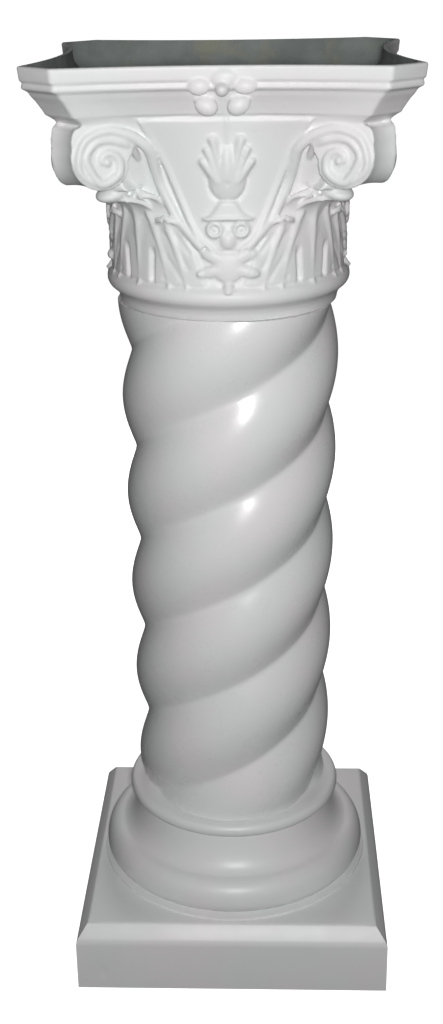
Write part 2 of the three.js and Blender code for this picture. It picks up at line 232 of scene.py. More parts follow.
def arc(radius, height, wide, high, start, end, count):
    """Pairs along an elliptic arc, with its angles in degrees."""
    angles = [math.radians(start + (end - start) * i / count) for i in range(count + 1)]
    return [(radius + wide * math.cos(angle), height + high * math.sin(angle)) for angle in angles]


def curve(start, pull, end, count):
    """Pairs along a soft curve from start to end, drawn towards a third point."""
    a, b, c = Vector(start), Vector(pull), Vector(end)
    steps = [i / count for i in range(count + 1)]
    return [tuple(a * (1 - t) ** 2 + b * 2 * t * (1 - t) + c * t * t) for t in steps]


def eased(pairs, reach):
    """The same line with each corner rounded over a short reach, as paint fills it."""
    points = [Vector(pair) for pair in pairs]
    line = [points[0]]
    for before, corner, after in zip(points, points[1:], points[2:]):
        start = corner + (before - corner) * min(0.45, reach / max(reach, (before - corner).length))
        end = corner + (after - corner) * min(0.45, reach / max(reach, (after - corner).length))
        line += [start, (start + 2 * corner + end) / 4, end]
    return [tuple(point) for point in line + [points[-1]]]


def as_object(bm, name, material, merge=0.02 * mm, coat=outside):
    """Closes a finished bmesh into an object with its faces outwards, all of one of its two materials."""
    bmesh.ops.remove_doubles(bm, verts=bm.verts, dist=merge)
    bmesh.ops.recalc_face_normals(bm, faces=bm.faces)
    mesh = bpy.data.meshes.new(name)
    bm.to_mesh(mesh)
    bm.free()
    mesh.materials.append(coat)
    mesh.materials.append(inside)
    for face in mesh.polygons:
        face.material_index = mesh.materials.find(material.name)
    piece = bpy.data.objects.new(name, mesh)
    bpy.context.scene.collection.objects.link(piece)
    return piece


def settled(piece):
    """Replaces a piece's mesh by the one that its modifiers give."""
    depsgraph = bpy.context.evaluated_depsgraph_get()
    mesh = bpy.data.meshes.new_from_object(piece.evaluated_get(depsgraph))
    piece.modifiers.clear()
    piece.data = mesh


def combine(piece, tool, operation):
    """Joins a second body to a piece, or cuts it out of it."""
    cut = piece.modifiers.new("cut", "BOOLEAN")
    cut.operation = operation
    cut.solver = "MANIFOLD"
    cut.object = tool
    settled(piece)
    bpy.data.objects.remove(tool)


def finish_piece(piece, node, sharp_angle):
    """Shades a piece, ties it to the root body, and hides the imported part of the node that it stands for.
    """
    piece.data.shade_smooth()
    piece.data.set_sharp_from_angle(angle=math.radians(sharp_angle))
    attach(piece, "root")
    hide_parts(node)


def uneven(bm, amount, size, seed):
    """Moves points in and out a little, as a hand-laid shell is never quite true."""
    for vert in bm.verts:
        shift = noise.noise_vector(vert.co / size + Vector((seed, seed, seed)))
        vert.co += shift * amount


def square_body(half, heights_and_insets):
    """A square body through the given heights, drawn in by each inset."""
    bm = bmesh.new()
    bmesh.ops.create_cube(bm, size=2 * half)
    (first, _), (second, _) = heights_and_insets[:2]
    for vert in bm.verts:
        vert.co.z = second if vert.co.z > 0 else first
    top = max(bm.faces, key=lambda face: face.calc_center_median().z)
    for height, inset in heights_and_insets[2:]:
        made = bmesh.ops.extrude_face_region(bm, geom=[top])["geom"]
        bmesh.ops.delete(bm, geom=[top], context="FACES_ONLY")
        verts = [item for item in made if isinstance(item, bmesh.types.BMVert)]
        share = (half - inset) / half
        bmesh.ops.scale(bm, vec=(share, share, 1), verts=verts)
        bmesh.ops.translate(bm, vec=(0, 0, height - verts[0].co.z), verts=verts)
        top = next(item for item in made if isinstance(item, bmesh.types.BMFace))
    return bm


plinth_top = plinth_face + plinth_bevel_rise
plinth = square_body(plinth_half, [(0, 0), (plinth_face, 0), (plinth_top, plinth_bevel)])
low_edges = [edge for edge in plinth.edges if all(abs(vert.co.z - plinth_face) < mm for vert in edge.verts)]
bmesh.ops.bevel(
    plinth, geom=low_edges, offset=2 * plinth_edge, segments=5, profile=0.5, material=-1, affect="EDGES"
)
top_edges = [edge for edge in plinth.edges if all(abs(vert.co.z - plinth_top) < mm for vert in edge.verts)]
bmesh.ops.bevel(
    plinth, geom=top_edges, offset=plinth_edge, segments=3, profile=0.5, material=-1, affect="EDGES"
)
long_edges = [edge for edge in plinth.edges if edge.calc_length() > plinth_half]
bmesh.ops.subdivide_edges(plinth, edges=long_edges, cuts=plinth_cuts, use_grid_fill=True)
near_faces = [
    face for face in plinth.faces if (face.calc_center_median() - dimple_place).length < 4 * dimple_radius
]
near_edges = {edge for face in near_faces for edge in face.edges}
bmesh.ops.subdivide_edges(plinth, edges=list(near_edges), cuts=7, use_grid_fill=True)
uneven(plinth, hand_unevenness / 2, uneven_size, uneven_seed)
for vert in plinth.verts:
    share = (vert.co - dimple_place).length / dimple_radius
    if share < 1:
        vert.co.y += dimple_depth * (1 - share**2)
for vert in plinth.verts:
    vert.co.z = max(vert.co.z, 0)
    vert.co.x = max(-plinth_half, min(plinth_half, vert.co.x))
    vert.co.y = max(-plinth_half, min(plinth_half, vert.co.y))

fillet_radius = plinth_half - plinth_bevel - fillet_margin
torus_foot = plinth_top + fillet_height
torus_top = torus_foot + torus_height
torus_radius = fillet_radius - torus_inset
torus_middle = torus_foot + torus_height * torus_middle_share
torus_under = (torus_middle - torus_foot) / math.sin(math.radians(torus_foot_angle))
torus_hollow = torus_radius - torus_depth * (1 - math.cos(math.radians(torus_foot_angle))) - wall
neck_radius = shaft_foot_radius + neck_overhang
collar_foot = torus_top + scotia_height
collar_radius = shaft_foot_radius + collar_overhang
collar_half = collar_height / 2
seat_radius = neck_radius + collar_step
scotia_pull = (neck_radius + scotia_spread, torus_top + scotia_lift)
moulding_line = [
    (0, plinth_top - wall / 2),
    (fillet_radius, plinth_top - wall / 2),
    (fillet_radius, torus_foot),
    *arc(torus_radius - torus_depth, torus_middle, torus_depth, torus_under, -torus_foot_angle, 0, 14),
    *arc(torus_radius - torus_depth, torus_middle, torus_depth, torus_top - torus_middle, 3, 84, 24),
    *curve((torus_radius - torus_depth, torus_top), scotia_pull, (neck_radius, collar_foot), 24)[1:],
    *arc(collar_radius - collar_half, collar_foot + collar_half, collar_half, collar_half, -80, 62, 16),
    (seat_radius - collar_step / 2, base_top),
    (0, base_top),
]
mouldings = spun(eased(moulding_line, paint_reach), turning_steps)
base = as_object(plinth, "base_moulded", outside)
combine(base, as_object(mouldings, "mouldings", outside), "UNION")
hollow_line = [(-wall, 0), (plinth_face - wall / 2, 0), (plinth_top - wall, plinth_bevel)]
plinth_hollow = square_body(plinth_half - wall, hollow_line)
combine(base, as_object(plinth_hollow, "plinth_hollow", inside), "DIFFERENCE")
bore = shaft_foot_radius - groove_depth - seat_ring
neck_line = [
    (0, plinth_top - 2 * wall),
    (torus_hollow, plinth_top - 2 * wall),
    (torus_hollow, torus_middle),
    (torus_radius - torus_depth - wall, torus_top - wall),
    (scotia_pull[0] - wall, scotia_pull[1] + wall),
    (neck_radius - wall, collar_foot - wall),
    (neck_radius - wall, base_top - 2 * wall),
    (bore, base_top - wall),
    (bore, base_top + wall),
    (0, base_top + wall),
]
combine(base, as_object(spun(neck_line, hollow_steps), "neck_hollow", inside), "DIFFERENCE")
finish_piece(base, "base", 40)

# Shaft
# Three round strands wound round each other like a rope, slightly thicker at the top. It is a thin tube of
# the same white-coated resin, cast in one mould, glued between the collar and the capital's seat.
shaft_low, shaft_high = (Vector(corner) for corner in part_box("shaft"))
strands = 3
shaft_foot = shaft_low.z
shaft_top = shaft_high.z
shaft_top_radius = 115.6 * mm
lead = 325 * mm
foot_turn = 29
cusp = 1.6 * mm
outer_around = strands * 80
outer_rows = 200
inner_around = strands * 12
inner_rows = 60
swell_size = 70 * mm


def strand_radius(angle, crest, depth):
    """Radius at an angle from a crest: round lobes that meet in grooves whose bottoms paint has softened."""
    pitch = math.tau / strands
    local = (angle + pitch / 2) % pitch - pitch / 2
    valley = crest - depth
    off = (crest**2 - valley**2) / (2 * (crest - valley * math.cos(pitch / 2)))
    lobe = crest - off
    sharp = off * math.cos(local) + math.sqrt(lobe**2 - (off * math.sin(local)) ** 2)
    return valley + math.hypot(sharp - valley, cusp)


def strand_tube(low, high, around, rows, inset):
    """The twisted body between two heights: a ring of points, drawn up row by row, closed at both ends."""
    bm = bmesh.new()
    bmesh.ops.create_circle(bm, segments=around, radius=1, cap_ends=False)
    ring = bm.verts[:]
    angles = [math.atan2(vert.co.y, vert.co.x) for vert in ring]
    edges = bm.edges[:]
    bmesh.ops.contextual_create(bm, geom=edges)
    for row in range(rows + 1):
        height = low + (high - low) * row / rows
        share = (height - shaft_foot) / (shaft_top - shaft_foot)
        crest = shaft_foot_radius + (shaft_top_radius - shaft_foot_radius) * share
        turn = math.radians(foot_turn) + math.tau * (height - shaft_foot) / lead
        for vert, angle in zip(ring, angles):
            radius = strand_radius(angle, crest, groove_depth) - inset
            vert.co = (radius * math.cos(angle + turn), radius * math.sin(angle + turn), height)
        if row < rows:
            made = bmesh.ops.extrude_edge_only(bm, edges=edges)["geom"]
            ring = [item for item in made if isinstance(item, bmesh.types.BMVert)]
            edges = [item for item in made if isinstance(item, bmesh.types.BMEdge)]
            edges = [edge for edge in edges if edge.verts[0] in ring and edge.verts[1] in ring]
    bmesh.ops.contextual_create(bm, geom=edges)
    return bm


tube = strand_tube(shaft_foot, shaft_top, outer_around, outer_rows, 0)
for vert in tube.verts:
    swell = noise.noise(vert.co / swell_size) * hand_unevenness
    vert.co += Vector((vert.co.x, vert.co.y, 0)).normalized() * swell
glossy = white_gel_coat("white_gel_coat_glossy", 0.28)
shaft = as_object(tube, "shaft_twisted", glossy, coat=glossy)
shaft_hollow = strand_tube(shaft_foot - wall, shaft_top + wall, inner_around, inner_rows, wall)
combine(shaft, as_object(shaft_hollow, "shaft_hollow", inside, coat=glossy), "DIFFERENCE")
finish_piece(shaft, "shaft", 40)

# Capital
# One hollow casting of the same white resin, glued on the shaft: a bead, a bell with leaves, stems, scrolls
# and panels, and an open abacus with flowers. It is drawn in millimetres and scaled to metres at the end.
capital_low, capital_high = (Vector(corner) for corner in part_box("capital"))
capital_foot = capital_low.z / mm
capital_top = capital_high.z / mm
bead_height = 38
bell_height = 160
bell_foot = capital_foot + bead_height
bell_top = bell_foot + bell_height
bell_radius = shaft_top_radius / mm + 1.5
bell_flare_start = 0.34
abacus_half = capital_high.x / mm
abacus_chamfer = 33.9
abacus_hollow = 22.1
abacus_taper = 31
corner_ease = 0.28
corner_start = math.radians(33)
corner_blend = math.radians(6)
abacus_corner = abacus_half - abacus_chamfer
side_columns = 150
row_height = 1.3
capital_wall = 6
voxel = 1.3
finished_triangles = 168000
fine_merge = 0.01

# Radius of the bead at heights above the capital's foot
bead_line = [
    (0, 112), (7, 113.2), (12, 115.8), (15.5, 119.6), (18.5, 123.2), (22.5, 125.1), (27, 125.2), (31, 123.4),
    (33.5, 120.6), (34.6, 118.8), (36, 118.6), (38, 117.6),
]
# How far the mouldings under the abacus stand back from its face, at depths below its top
moulding_setbacks = [
    (0, 0.9), (1.5, 0), (12.4, 1.5), (13.4, 2.2), (14.2, 5), (15, 5.6), (16, 4.2), (17.5, 3.1),
    (19.5, 3.4), (20.8, 5.2), (22, 8.8), (23.4, 11), (25.5, 12.2), (28.5, 15.2), (32, 19), (37, 23.2),
    (41, 26.6), (45, 29),
]


def along(line, at):
    """Value at a place on a line of place and value pairs."""
    for (first, low), (second, high) in zip(line, line[1:]):
        if at <= second:
            return low + (high - low) * max(0, at - first) / (second - first)
    return line[-1][1]


def abacus_reach(angle):
    """Distance of the abacus outline from the axis at an angle from the middle of a side."""
    middle = abacus_half - abacus_hollow
    bow = abacus_hollow * (math.tan(angle) / abacus_corner) ** 2
    out = (1 - math.sqrt(1 - 4 * bow * middle)) / (2 * bow) if bow > 1e-9 else middle
    cut = (abacus_corner + abacus_half) / (math.cos(angle) + abs(math.sin(angle)))
    return min(out / math.cos(angle), cut)


def setback_share(angle, setback):
    """What a setback leaves of the abacus outline, less of it at the cut corners, whose cove is steeper."""
    corner = min(1, max(0, (abs(angle) - corner_start) / corner_blend))
    return 1 - setback * (1 - corner_ease * corner) / abacus_half


def bell_reach(angle, height):
    """Distance of the plain capital's surface from the axis, without its carving."""
    if height < bell_foot:
        return along(bead_line, height - capital_foot)
    if height > bell_top:
        setback = along(moulding_setbacks, capital_top - height)
        return abacus_reach(angle) * setback_share(angle, setback)
    share = (height - bell_foot) / bell_height
    flare = max(0, (share - bell_flare_start) / (1 - bell_flare_start)) ** 2
    square = abacus_reach(angle) * setback_share(angle, abacus_taper)
    return bell_radius + (square - bell_radius) * flare


def dome(x, z, wide, high, raised, tilt=0, power=0.5):
    """Height of a pillow with an elliptic outline, flatter on top with a smaller power."""
    c, s = math.cos(math.radians(tilt)), math.sin(math.radians(tilt))
    share = ((x * c + z * s) / wide) ** 2 + ((z * c - x * s) / high) ** 2
    return raised * (1 - share) ** power if share < 1 else 0


def stroke(x, z, start, end, half_width, raised):
    """Height of a rounded ridge, or of a groove where raised is below 0, from one point to another."""
    dx, dz = end[0] - start[0], end[1] - start[1]
    share = max(0, min(1, ((x - start[0]) * dx + (z - start[1]) * dz) / (dx * dx + dz * dz)))
    away = math.hypot(x - start[0] - share * dx, z - start[1] - share * dz) / half_width
    return raised * (1 - away * away) if away < 1 else 0


# The panel: half widths at heights above the bell's foot, where its middle is, and how far it stands out
panel_line = [
    (33, 14), (38, 19), (46, 28), (62, 36), (78, 42), (96, 49), (111, 54.5), (126, 61), (141, 69),
    (157, 76.5),
]
panel_foot = 33
panel_centre = 2
panel_raise = 2.4
panel_slope = 0.86
panel_fade = 155
lip_half_width = 4.2
lip_raise = 2.6
lip_fall = 4.4
groove_width = 9
groove_deep = 1.6
# The groove between the panel and the abacus: its height, half width, depth, and how far it reaches sideways
head_groove = 158.8
head_groove_half_width = 1.9
head_groove_deep = 2.2
head_groove_from = 29
head_groove_to = 84
# The ornament: its middle, and the heights above the bell's foot at which its parts meet
ornament_centre = 3.2
leaf_drop_top = 36
scroll_pair_top = 61
cap_top = 80.2
stalk_foot = 132
stalk_top = 160
# The lobes of the leaf low on the panel: place beside the middle and height, half sizes, and tilt
five_lobes = [(0, 17, 15, 15, 0), (14, 27, 13, 6, 24), (15, 13, 14.5, 5.6, -12)]
# The leaves of the bud's crown: where each starts and ends beside the middle, and its half width
crown_leaves = [((4, 98), (12.5, 137), 5.2), ((9, 98), (21.5, 117), 4.8), ((7, 98), (18, 128), 4.2)]


def ornament_relief(x, z):
    """Height of the ornament down the panel's middle; x from its own axis, z above the bell's foot."""
    side = abs(x)
    if z < leaf_drop_top:
        leafage = max(
            dome(x - way * dx, z - dz, wide, high, 5, way * tilt, 0.25)
            for dx, dz, wide, high, tilt in five_lobes
            for way in (1, -1)
        )
        drop = dome(x, z + 3, 4.8, 7, 5)
        pits = -3 * max(0, 1 - math.hypot((side - 7.5) / 3.4, (z + 2) / 3.4))
        return max(leafage, drop) or pits
    if z < scroll_pair_top:
        curl = math.hypot(side - 12, z - 53)
        return max(
            dome(x, z - 43, 7.5, 9.5, 5),
            5.2 * max(0, 1 - ((curl - 6) / 3) ** 2),
            dome(side - 12, z - 53, 2.6, 2.6, 4.6),
        )
    if z < cap_top:
        flare = along([(scroll_pair_top, 22), (63.5, 24), (66, 17.5), (72, 12.5), (cap_top, 8)], z)
        edge = (flare - side) / 3.5
        lip = stroke(side, z, (0, 64), (24, 62.5), 2.4, 2)
        return 4.6 * min(1, max(0, edge)) ** 0.5 * min(1, (z - scroll_pair_top) / 1.5) + lip * (edge > 0)
    leafage = max(
        dome(x, z - 101, 17, 21, 6.2),
        dome(x, z - 118, 14, 15, 4.8),
        *(stroke(side, z, start, end, wide, 6.6) for start, end, wide in crown_leaves),
    )
    outline = -2.4 * max(0, 1 - abs(math.hypot(x / 18.4, (z - 101) / 22.4) - 1) / 0.12) * (z < 106)
    almond = dome(x, z - 108, 8, 24, 8.2)
    pit = 4 * max(0, 1 - math.hypot(x, z - 97) / 2.8)
    stalk = 2.2 * max(0, 1 - (x / 2.2) ** 2) * (stalk_foot < z < stalk_top)
    if not (leafage or almond or stalk):
        return outline
    return max(leafage, almond - pit, stalk)


def panel_relief(x, z):
    """Height of the panel with its lip, the groove beside it, and the ornament; z above the bell's foot."""
    beyond = (abs(x - panel_centre) - along(panel_line, z)) * panel_slope
    if z < panel_foot or beyond > groove_width:
        flat = 0
    elif beyond > 0:
        flat = (panel_raise + lip_raise) * (1 - min(1, beyond / lip_fall) ** 1.5)
        flat -= groove_deep * math.sin(min(1, beyond / groove_width) * math.pi)
    else:
        flat = panel_raise + lip_raise * max(0, 1 - (beyond / lip_half_width) ** 2)
    if z > panel_fade:
        flat *= max(0, 1 - (z - panel_fade) / 2)
    if head_groove_from < abs(x - panel_centre) < head_groove_to:
        flat -= head_groove_deep * max(0, 1 - abs(z - head_groove) / head_groove_half_width)
    ornament = ornament_relief(x - ornament_centre, z)
    if ornament < 0:
        return flat + ornament
    return max(flat, flat * (z > leaf_drop_top) * 0.8 + ornament)


# The leaf field low on the bell: where it begins beside the middle, and the cuts between its lobes
field_line = [(0, 16), (30, 26), (60, 44), (90, 58)]
field_top = 92
field_cuts = [((33, 30), (45, 46)), ((34, 14), (58, 52)), ((40, 2), (64, 40))]


def leaf_field_relief(x, z):
    """Lobes and gaps of the leaves low on the bell, between the drop in the middle and the corner."""
    side = abs(x)
    raised = 3.2 * min(1, max(0, (side - along(field_line, z)) / 4))
    raised *= max(0, min(1, (field_top - z) / 30))
    cut = min(stroke(side, z, start, end, 2.6, -1.2) for start, end in field_cuts)
    eye = -3.2 * max(0, 1 - math.hypot((side - 56) / 4.2, (z - 4.5) / 3.6))
    gap = stroke(side, z, (70, -2), (68.5, 31), 2.6, -4)
    return (raised + cut * (raised > 0.5) + eye + gap) * min(1, max(0, (z + 3) / 3))


def plain_capital():
    """The solid body of the capital with the low relief of its four sides moved out of it."""
    height = capital_top - capital_foot
    rows = round(height / row_height)
    lift = [(1, capital_foot + height * row / rows) for row in range(rows + 1)]
    body = spun([(0, capital_foot), *lift, (0, capital_top)], side_columns * 4)
    known = {}
    for vert in body.verts:
        if vert.co.xy.length < 0.5:
            continue
        around = math.atan2(vert.co.x, -vert.co.y)
        quarter = round(around / (math.pi / 2))
        angle = around - quarter * math.pi / 2
        key = (round(angle * 1e3), round(vert.co.z * 10))
        if key not in known:
            reach = bell_reach(angle, vert.co.z)
            above = vert.co.z - bell_foot
            if -8 < above < bell_height + 4:
                x = reach * math.sin(angle)
                reach += panel_relief(x, above) + leaf_field_relief(x, above)
            known[key] = reach
        vert.co.x *= known[key]
        vert.co.y *= known[key]
    return body


def on_side(angle, reach, height):
    """A point at an angle from the front side's middle."""
    return Vector((reach * math.sin(angle), -reach * math.cos(angle), height))


ridge_sides = 12
ridge_depth = 12


def swept(points, outs, half_widths, highs):
    """A closed ridge along points, round on the outward side of each and deep on the other."""
    bm = bmesh.new()
    ring = None
    for index, (point, out) in enumerate(zip(points, outs)):
        ahead = points[min(index + 1, len(points) - 1)] - points[max(index - 1, 0)]
        across = ahead.cross(out).normalized()
        places = []
        for step in range(ridge_sides):
            turn = math.tau * step / ridge_sides
            high = highs[index] if math.sin(turn) > 0 else ridge_depth
            places.append(point + across * half_widths[index] * math.cos(turn) + out * high * math.sin(turn))
        if ring is None:
            bmesh.ops.create_circle(bm, segments=ridge_sides, radius=1, cap_ends=False)
            ring, edges = bm.verts[:], bm.edges[:]
            bmesh.ops.contextual_create(bm, geom=edges)
        else:
            made = bmesh.ops.extrude_edge_only(bm, edges=edges)["geom"]
            ring = [item for item in made if isinstance(item, bmesh.types.BMVert)]
            edges = [item for item in made if isinstance(item, bmesh.types.BMEdge)]
            edges = [edge for edge in edges if edge.verts[0] in ring and edge.verts[1] in ring]
        for vert, place in zip(ring, places):
            vert.co = place
    bmesh.ops.contextual_create(bm, geom=edges)
    return bm


# The corner scrolls: the middle of their faces, the outline of the wheel that carries them, and two ridges.
# A ridge is a list of angles, radii and half widths; angles go from the panel's side over the top.
volute_stand = 177
volute_height = bell_top - 40.5
volute_band = 28
volute_turn = math.radians(22.5)
wheel_waist = 0.09
wheel_radii = [
    (-180, 19), (-90, 25.5), (-50, 27.5), (-25, 29), (0, 30.5), (25, 33), (48, 41), (70, 37), (90, 33),
    (135, 33), (180, 19),
]
rim_ridge = [(90, 28.2, 4.2), (45, 28.4, 4), (0, 27.2, 3.4), (-30, 24.6, 2.8), (-62, 22, 1.8)]
inner_ridge = [
    (186, 38, 2.6), (176, 33, 3.2), (160, 28.5, 3.5), (135, 23.2, 3.6), (108, 20.4, 3.7), (80, 20.2, 3.8),
    (53, 20.5, 3.8), (10, 20.2, 3.8), (-60, 19, 4.2), (-90, 18, 4.3), (-135, 15.2, 4.3), (-180, 12, 4.1),
    (-225, 9.6, 3.9), (-270, 8.2, 3.8), (-320, 6.5, 3.5), (-380, 4, 3),
]
ridge_high = 4.4
coil_sink_from = 25
coil_sink = 1.6
eye_radius = 4
# The stem: distances beside the middle at heights above the bell's foot, and where it leaves the bell
stem_line = [
    (21, 35), (31, 46), (43.5, 61), (52.5, 78), (60.5, 96), (66.5, 112), (73, 128), (81, 139), (89, 144),
]
stem_leaves_bell = 96
stem_half_width = 4.8
stem_high = 4.6
# The web, measured from the scroll's eye: its middle and its size across, out of the face and up
web_across, web_width = -25, 48
web_out, web_thickness = -21, 30
web_up, web_height = -1, 58
web_recess = 72.8
face_across = Vector((math.cos(volute_turn), -math.sin(volute_turn), 0))
face_out = Vector((-math.sin(volute_turn), -math.cos(volute_turn), 0))


def on_diagonal(reach, across, height):
    """A point by its distance along and across the diagonal of the corner right of the front."""
    c = math.sqrt(0.5)
    return Vector(((reach + across) * c, (across - reach) * c, height))


def on_face(angle, radius, out=0):
    """A point on the face of the right-hand scroll, at an angle and a distance from its eye."""
    turn = math.radians(angle)
    eye = on_diagonal(volute_stand, -volute_band, volute_height)
    eye.z += radius * math.sin(turn)
    return eye + face_across * radius * math.cos(turn) + face_out * out


def volute_cushion():
    """The cushion between the two scrolls of a corner: a wheel on the diagonal, with a slight waist."""
    bm = bmesh.new()
    bmesh.ops.create_cone(bm, cap_ends=True, segments=72, radius1=1, radius2=1, depth=2)
    walls = [edge for edge in bm.edges if abs(edge.verts[0].co.z - edge.verts[1].co.z) > 1]
    bmesh.ops.subdivide_edges(bm, edges=walls, cuts=9)
    for vert in bm.verts:
        share = vert.co.z
        turn = math.degrees(math.atan2(vert.co.y, vert.co.x))
        radius = along(wheel_radii, turn) * (1 - wheel_waist * (1 - share * share)) * vert.co.xy.length
        reach = volute_stand + radius * math.cos(math.radians(turn))
        half = volute_band + (volute_stand - reach) * math.tan(volute_turn)
        vert.co = on_diagonal(reach, share * half, volute_height + radius * math.sin(math.radians(turn)))
    return bm


def volute_web():
    """The flat ground between the stem and the scroll, which carries the scroll and leans back below it."""
    bm = bmesh.new()
    bmesh.ops.create_cube(bm, size=1)
    bmesh.ops.bevel(bm, geom=bm.edges[:], offset=0.08, segments=3, profile=0.5, material=-1, affect="EDGES")
    for vert in bm.verts:
        across, up, out = vert.co
        back = web_recess * max(0, -up) ** 1.5
        vert.co = on_face(0, web_across + web_width * across, web_out + web_thickness * out - back)
        vert.co.z += web_up + web_height * up
    return bm


def stem_and_rim():
    """The stem that climbs beside the panel, bends over and runs on as the rim of the scroll."""
    stations = []
    stem_top = stem_line[-1][1]
    eye = on_face(0, 0)
    for x, above in stem_line:
        lean = max(0, (above - stem_leaves_bell) / (stem_top - stem_leaves_bell))
        height = bell_foot + above
        angle = math.asin(x / bell_reach(math.asin(x / bell_radius), height))
        point = on_side(angle, bell_reach(angle, height) + 1, height)
        lifted = eye + face_across * (x - eye.x) / face_across.x
        lifted.z = height
        out = on_side(angle * 0.6, 1, 0)
        place = point.lerp(lifted, lean**1.5)
        stations.append((place, out.lerp(face_out, lean), stem_half_width, stem_high))
    for angle, radius, wide in rim_ridge:
        stations.append((on_face(angle, radius), face_out, wide, min(ridge_high, wide)))
    return swept(*smoothed(stations, 6))


def inner_coil():
    """The second ridge of the scroll, which rises out of the ground by the stem and winds in to the eye."""
    stations = []
    for angle, radius, wide in inner_ridge:
        sunk = coil_sink * max(0, radius - coil_sink_from)
        stations.append((on_face(angle, radius, -sunk), face_out, wide, min(ridge_high, wide)))
    return swept(*smoothed(stations, 8))


def smoothed(stations, pieces):
    """A soft curve through stations of point, outward direction, half width and height, as four lists."""
    lists = [], [], [], []
    for index in range(len(stations) - 1):
        (start, out, wide, high), (end, next_out, next_wide, next_high) = stations[index:index + 2]
        before = stations[max(index - 1, 0)][0]
        after = stations[min(index + 2, len(stations) - 1)][0]
        for piece in range(pieces):
            t = piece / pieces
            bend = (end - before) * t * (1 - t) ** 2 / 2 - (after - start) * t * t * (1 - t) / 2
            point = start + (end - start) * t * t * (3 - 2 * t) + bend
            outward = out.lerp(next_out, t).normalized()
            values = point, outward, wide + (next_wide - wide) * t, high + (next_high - high) * t
            for line, value in zip(lists, values):
                line.append(value)
    return lists


def scroll_eye():
    """The button in the middle of a scroll."""
    bm = bmesh.new()
    bmesh.ops.create_uvsphere(bm, u_segments=16, v_segments=10, radius=eye_radius)
    bmesh.ops.translate(bm, vec=on_face(0, 0), verts=bm.verts)
    return bm


# Three leaves: angles of foot and top, half width, climb, the curl's way out, way up and turn, and lobes
upper_leaf = (27, 37, 19, 73, 15, 20, 112, 5)
lower_leaf = (18, 27, 15, 60, 5, 9, 105, 4)
corner_leaf = (45, 45, 24, 66, 33, 24, 105, 5)
leaf_thickness = 5
curl_start = 0.62
round_start = 0.72
# The corner leaf's tip: half sizes, lean in degrees, reach along the diagonal, height above the bell's foot
tip_sizes = (17, 15, 7.5)
tip_lean = 14
tip_reach = 150
tip_height = 86
# The flower's petals and boss: place beside the middle, drop below the rim, half sizes, thickness and tilt
petals = [
    (3, -10, 13.5, 8.5, 5, 0), (-20, -18, 10, 8, 5, 0), (21, -18, 10.5, 7.5, 5, 0),
    (-14, -36, 11, 8.5, 7, 25), (15, -35.5, 11, 8.5, 7, -25),
]
boss = (0.5, -20.5, 6.6, 6.6, 11, 0)
petals_low = -30
petal_back = 3
low_petal_back = 12.5


def leaf(foot_angle, top_angle, half_width, climb, curl_out, curl_up, curl_turn, lobes):
    """A leaf that climbs the bell and curls over, with soft lobes, a middle rib and shallow veins."""
    bm = bmesh.new()
    bmesh.ops.create_grid(bm, x_segments=26, y_segments=80, size=1)
    for vert in bm.verts:
        u, v = vert.co.x, (vert.co.y + 1) / 2
        climbing = min(1, v / curl_start)
        curling = max(0, (v - curl_start) / (1 - curl_start))
        angle = math.radians(foot_angle + (top_angle - foot_angle) * climbing**1.4)
        lobe = abs(math.sin(math.pi * (lobes * v - 0.25))) * (1 - curling)
        ending = math.sqrt(max(0.02, 1 - max(0, (v - round_start) / (1 - round_start)) ** 2))
        spread = half_width * (0.76 + 0.28 * climbing) * (0.90 + 0.12 * lobe) * ending
        height = bell_foot - 4 + climb * climbing
        reach = bell_reach(angle, height) + 1.6 + 2.8 * climbing
        turn = math.radians(curl_turn) * curling
        reach += curl_out * (1 - math.cos(turn)) / (1 - math.cos(math.radians(curl_turn)))
        height += curl_up * math.sin(turn)
        rib = 1.5 * math.exp(-((u / 0.16) ** 2))
        vein = 0.55 * (math.cos(math.tau * (lobes * v - 0.25 - 0.9 * abs(u))) - 1) * min(1, abs(u) / 0.25)
        fold = -4.8 * u * u * (1 - 0.4 * curling) + rib + vein * (1 - curling)
        aside = angle + math.asin(max(-0.9, min(0.9, u * spread / reach)))
        outward = Vector((math.cos(turn), math.sin(turn)))
        vert.co = on_side(aside, reach + fold * outward.x, height + fold * outward.y)
    bmesh.ops.solidify(bm, geom=bm.faces, thickness=leaf_thickness)
    return bm


def leaf_tip():
    """The thick rounded end of a corner's leaf, tucked under the scrolls."""
    bm = bmesh.new()
    bmesh.ops.create_uvsphere(bm, u_segments=32, v_segments=16, radius=1)
    bmesh.ops.scale(bm, vec=tip_sizes, verts=bm.verts)
    leaning = Matrix.Rotation(math.radians(tip_lean), 3, "Y")
    bmesh.ops.rotate(bm, cent=(0, 0, 0), matrix=leaning, verts=bm.verts)
    bmesh.ops.rotate(bm, cent=(0, 0, 0), matrix=Matrix.Rotation(-math.pi / 4, 3, "Z"), verts=bm.verts)
    bmesh.ops.translate(bm, vec=on_diagonal(tip_reach, 0, bell_foot + tip_height), verts=bm.verts)
    return bm


def abacus_flower():
    """The flower on the abacus: an upper petal, two at the sides and two below, about a round boss."""
    face = abacus_half - abacus_hollow
    whole = bmesh.new()
    for x, down, wide, high, deep, tilt in [*petals, boss]:
        part = bmesh.new()
        bmesh.ops.create_uvsphere(part, u_segments=24, v_segments=14, radius=1)
        back = low_petal_back if down < petals_low else petal_back
        turning = Matrix.Rotation(math.radians(tilt), 3, "Y")
        bmesh.ops.scale(part, vec=(wide, deep, high), verts=part.verts)
        bmesh.ops.rotate(part, cent=(0, 0, 0), matrix=turning, verts=part.verts)
        bmesh.ops.translate(part, vec=(x, back - face, capital_top + down), verts=part.verts)
        add_to(whole, part)
    return whole


def add_to(whole, part):
    """Moves the faces of one bmesh into another."""
    step = bpy.data.meshes.new("step")
    part.to_mesh(step)
    part.free()
    whole.from_mesh(step)
    bpy.data.meshes.remove(step)


